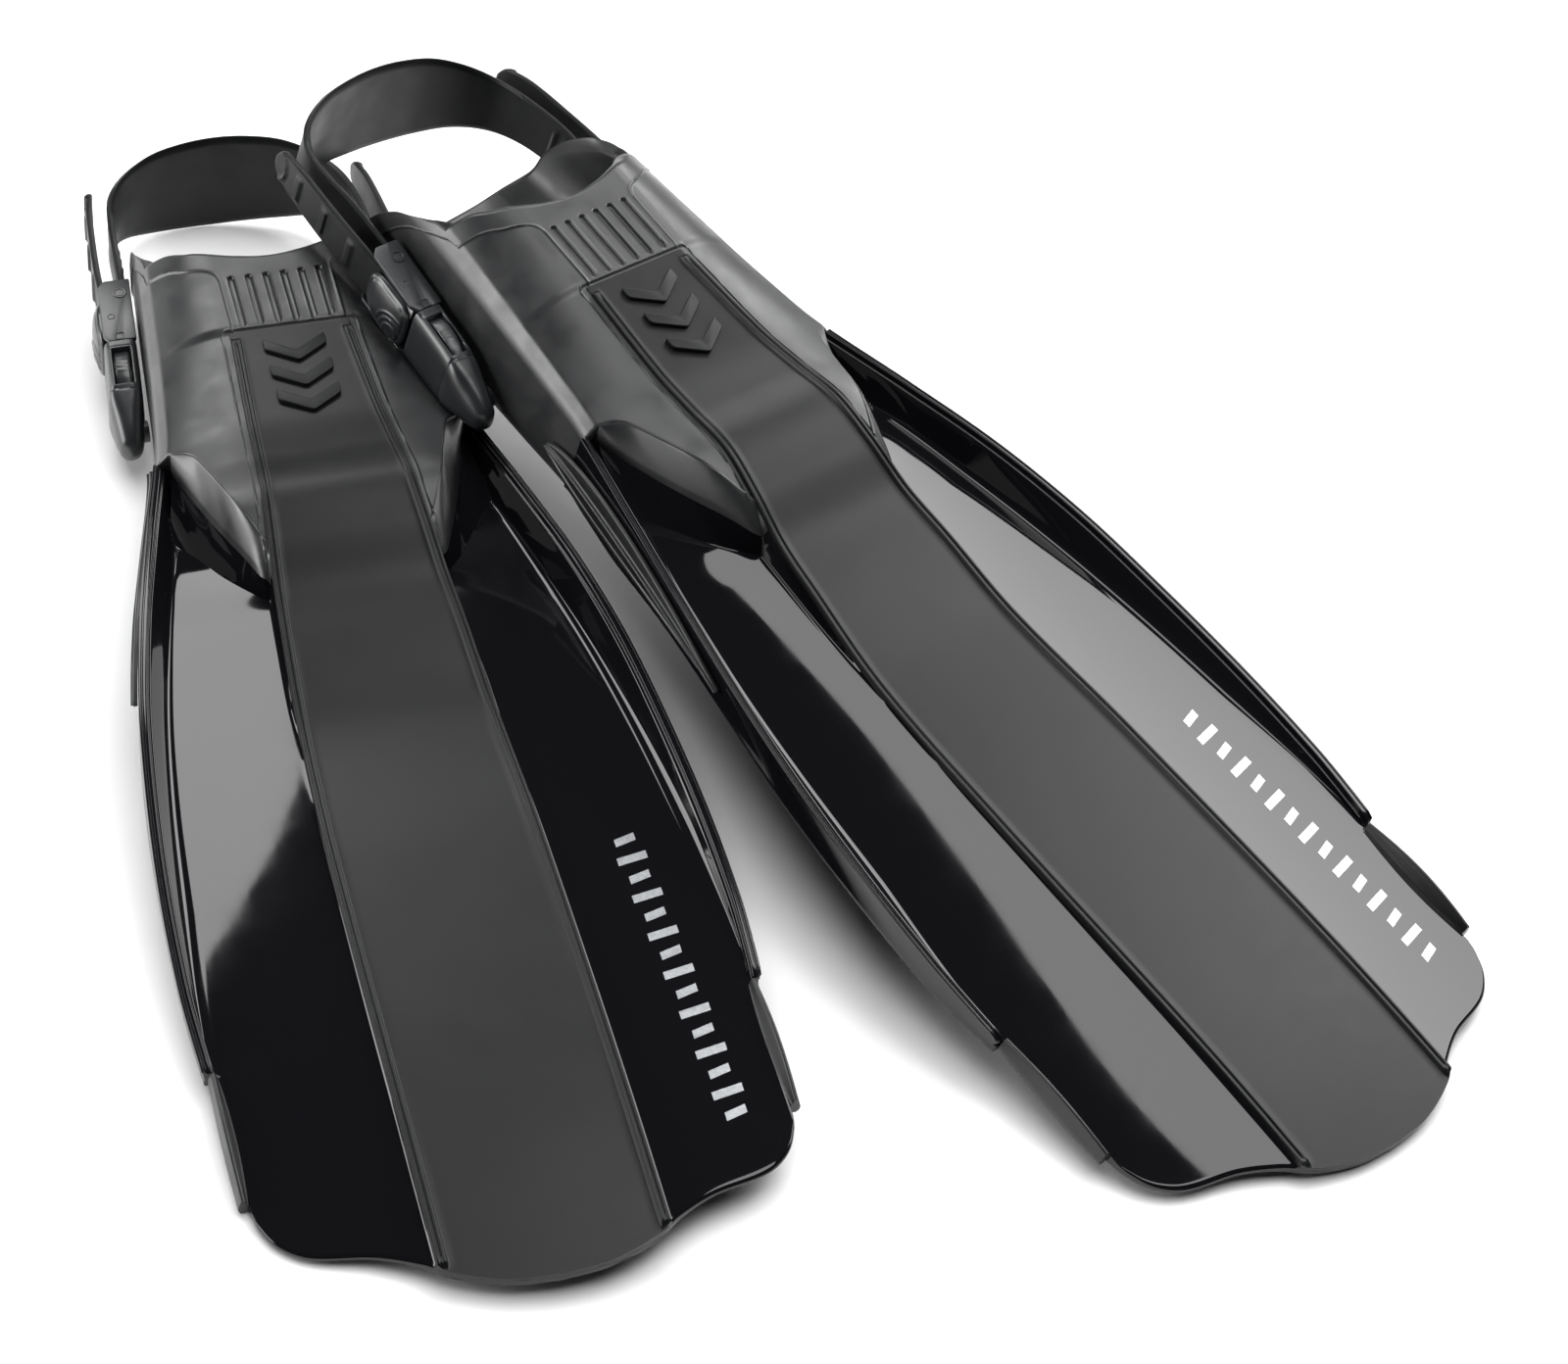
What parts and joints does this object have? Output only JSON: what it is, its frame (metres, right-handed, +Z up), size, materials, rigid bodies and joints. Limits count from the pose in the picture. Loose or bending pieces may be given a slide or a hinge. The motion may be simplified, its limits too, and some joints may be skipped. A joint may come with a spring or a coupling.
{
  "type": "swim fins",
  "caption": "Pair of black open-heel swim fins with a ribbed paddle blade, hollow rubber foot pocket, quick-release buckles and a heel strap; one fin rests on the other.",
  "frame": {"origin": "on the floor, under the middle of the pair's bounding box", "axes": "+Z up; +Y along the lower fin, from its blade tip towards its heel; +X towards the blade of the upper fin"},
  "size_m": [0.5366, 0.7002, 0.1478],
  "materials": {
    "gloss_blade": "polished black",
    "pocket_rubber": "satin charcoal",
    "matte_panel": "fine matte grain",
    "strap_rubber": "satin charcoal",
    "trim_rubber": "satin black",
    "buckle_plastic": "satin black",
    "lever_plastic": "satin black",
    "pin_steel": "satin"
  },
  "bodies": {
    "lower_fin": {"lower_blade": "gloss_blade", "lower_foot_pocket": "pocket_rubber", "lower_centre_panel": "matte_panel", "lower_tip_rail_left": "trim_rubber", "lower_tip_rail_right": "trim_rubber", "lower_strake_left": "trim_rubber", "lower_strake_right": "trim_rubber", "lower_swivel_stud_left": "buckle_plastic", "lower_swivel_stud_right": "buckle_plastic"},
    "lower_buckle_left": {"lower_buckle_nose_left": "buckle_plastic"},
    "lower_buckle_right": {"lower_buckle_nose_right": "buckle_plastic"},
    "lower_strap_set": {"lower_heel_strap": "strap_rubber", "lower_strap_frame_left": "buckle_plastic", "lower_strap_frame_right": "buckle_plastic", "lower_strap_bar_left": "pin_steel", "lower_strap_bar_right": "pin_steel", "lower_lever_pin_left": "pin_steel", "lower_lever_pin_right": "pin_steel"},
    "lower_lever_left": {"lower_lock_lever_left": "lever_plastic"},
    "lower_lever_right": {"lower_lock_lever_right": "lever_plastic"},
    "lower_tab_upper_left": {"lower_release_tab_upper_left": "buckle_plastic"},
    "lower_tab_lower_left": {"lower_release_tab_lower_left": "buckle_plastic"},
    "lower_tab_upper_right": {"lower_release_tab_upper_right": "buckle_plastic"},
    "lower_tab_lower_right": {"lower_release_tab_lower_right": "buckle_plastic"},
    "upper_fin": {"upper_blade": "gloss_blade", "upper_foot_pocket": "pocket_rubber", "upper_centre_panel": "matte_panel", "upper_tip_rail_left": "trim_rubber", "upper_tip_rail_right": "trim_rubber", "upper_strake_left": "trim_rubber", "upper_strake_right": "trim_rubber", "upper_swivel_stud_left": "buckle_plastic", "upper_swivel_stud_right": "buckle_plastic"},
    "upper_buckle_left": {"upper_buckle_nose_left": "buckle_plastic"},
    "upper_buckle_right": {"upper_buckle_nose_right": "buckle_plastic"},
    "upper_strap_set": {"upper_heel_strap": "strap_rubber", "upper_strap_frame_left": "buckle_plastic", "upper_strap_frame_right": "buckle_plastic", "upper_strap_bar_left": "pin_steel", "upper_strap_bar_right": "pin_steel", "upper_lever_pin_left": "pin_steel", "upper_lever_pin_right": "pin_steel"},
    "upper_lever_left": {"upper_lock_lever_left": "lever_plastic"},
    "upper_lever_right": {"upper_lock_lever_right": "lever_plastic"},
    "upper_tab_upper_left": {"upper_release_tab_upper_left": "buckle_plastic"},
    "upper_tab_lower_left": {"upper_release_tab_lower_left": "buckle_plastic"},
    "upper_tab_upper_right": {"upper_release_tab_upper_right": "buckle_plastic"},
    "upper_tab_lower_right": {"upper_release_tab_lower_right": "buckle_plastic"}
  },
  "joints": [
    {"name": "upper_fin_lift", "type": "slide", "parent": "lower_fin", "child": "upper_fin", "axis": [0, 0, 1], "range_m": [0, 0.25]},
    {"name": "lower_swivel_left", "type": "hinge", "parent": "lower_fin", "child": "lower_buckle_left", "pos_m": [-0.15094, 0.16445, 0.0244], "axis": [0.9978, -0.0088, 0.0664], "range_deg": [0, 10]},
    {"name": "lower_swivel_right", "type": "hinge", "parent": "lower_fin", "child": "lower_buckle_right", "pos_m": [-0.15094, 0.16445, 0.0244], "axis": [0.9978, -0.0088, 0.0664], "range_deg": [0, 10]},
    {"name": "lower_strap_release", "type": "slide", "parent": "lower_buckle_left", "child": "lower_strap_set", "axis": [0, 0.9914, 0.1312], "range_m": [0, 0.04]},
    {"name": "lower_lever_left_press", "type": "hinge", "parent": "lower_strap_set", "child": "lower_lever_left", "pos_m": [-0.22218, 0.22486, 0.02757], "axis": [-0.067, -0.1309, 0.9891], "range_deg": [0, 14], "stiffness_Nm_per_rad": 0.2, "springref_deg": -5.73},
    {"name": "lower_lever_right_press", "type": "hinge", "parent": "lower_strap_set", "child": "lower_lever_right", "pos_m": [-0.0797, 0.2236, 0.03705], "axis": [0.067, 0.1309, -0.9891], "range_deg": [0, 14], "stiffness_Nm_per_rad": 0.2, "springref_deg": -5.73},
    {"name": "lower_tab_upper_left_press", "type": "slide", "parent": "lower_buckle_left", "child": "lower_tab_upper_left", "axis": [0.067, 0.1309, -0.9891], "range_m": [0, 0.0025], "stiffness_N_per_m": 1500, "springref_m": -0.0005},
    {"name": "lower_tab_lower_left_press", "type": "slide", "parent": "lower_buckle_left", "child": "lower_tab_lower_left", "axis": [-0.067, -0.1309, 0.9891], "range_m": [0, 0.0025], "stiffness_N_per_m": 1500, "springref_m": -0.0005},
    {"name": "lower_tab_upper_right_press", "type": "slide", "parent": "lower_buckle_right", "child": "lower_tab_upper_right", "axis": [0.067, 0.1309, -0.9891], "range_m": [0, 0.0025], "stiffness_N_per_m": 1500, "springref_m": -0.0005},
    {"name": "lower_tab_lower_right_press", "type": "slide", "parent": "lower_buckle_right", "child": "lower_tab_lower_right", "axis": [-0.067, -0.1309, 0.9891], "range_m": [0, 0.0025], "stiffness_N_per_m": 1500, "springref_m": -0.0005},
    {"name": "upper_swivel_left", "type": "hinge", "parent": "upper_fin", "child": "upper_buckle_left", "pos_m": [-0.01987, 0.12007, 0.07986], "axis": [0.9093, 0.416, 0.0079], "range_deg": [0, 40]},
    {"name": "upper_swivel_right", "type": "hinge", "parent": "upper_fin", "child": "upper_buckle_right", "pos_m": [-0.01987, 0.12007, 0.07986], "axis": [0.9093, 0.416, 0.0079], "range_deg": [0, 40]},
    {"name": "upper_strap_release", "type": "slide", "parent": "upper_buckle_left", "child": "upper_strap_set", "axis": [-0.4044, 0.8793, 0.2516], "range_m": [0, 0.04]},
    {"name": "upper_lever_left_press", "type": "hinge", "parent": "upper_strap_set", "child": "upper_lever_left", "pos_m": [-0.10919, 0.14339, 0.09446], "axis": [0.0977, -0.232, 0.9678], "range_deg": [0, 14], "stiffness_Nm_per_rad": 0.2, "springref_deg": -5.73},
    {"name": "upper_lever_right_press", "type": "hinge", "parent": "upper_strap_set", "child": "upper_lever_right", "pos_m": [0.02067, 0.20279, 0.09559], "axis": [-0.0977, 0.232, -0.9678], "range_deg": [0, 14], "stiffness_Nm_per_rad": 0.2, "springref_deg": -5.73},
    {"name": "upper_tab_upper_left_press", "type": "slide", "parent": "upper_buckle_left", "child": "upper_tab_upper_left", "axis": [-0.0977, 0.232, -0.9678], "range_m": [0, 0.0025], "stiffness_N_per_m": 1500, "springref_m": -0.0005},
    {"name": "upper_tab_lower_left_press", "type": "slide", "parent": "upper_buckle_left", "child": "upper_tab_lower_left", "axis": [0.0977, -0.232, 0.9678], "range_m": [0, 0.0025], "stiffness_N_per_m": 1500, "springref_m": -0.0005},
    {"name": "upper_tab_upper_right_press", "type": "slide", "parent": "upper_buckle_right", "child": "upper_tab_upper_right", "axis": [-0.0977, 0.232, -0.9678], "range_m": [0, 0.0025], "stiffness_N_per_m": 1500, "springref_m": -0.0005},
    {"name": "upper_tab_lower_right_press", "type": "slide", "parent": "upper_buckle_right", "child": "upper_tab_lower_right", "axis": [0.0977, -0.232, 0.9678], "range_m": [0, 0.0025], "stiffness_N_per_m": 1500, "springref_m": -0.0005}
  ],
  "couplings": [
    {"joint": "lower_swivel_right", "follows": "lower_swivel_left", "ratio": 1},
    {"joint": "upper_swivel_right", "follows": "upper_swivel_left", "ratio": 1}
  ]
}
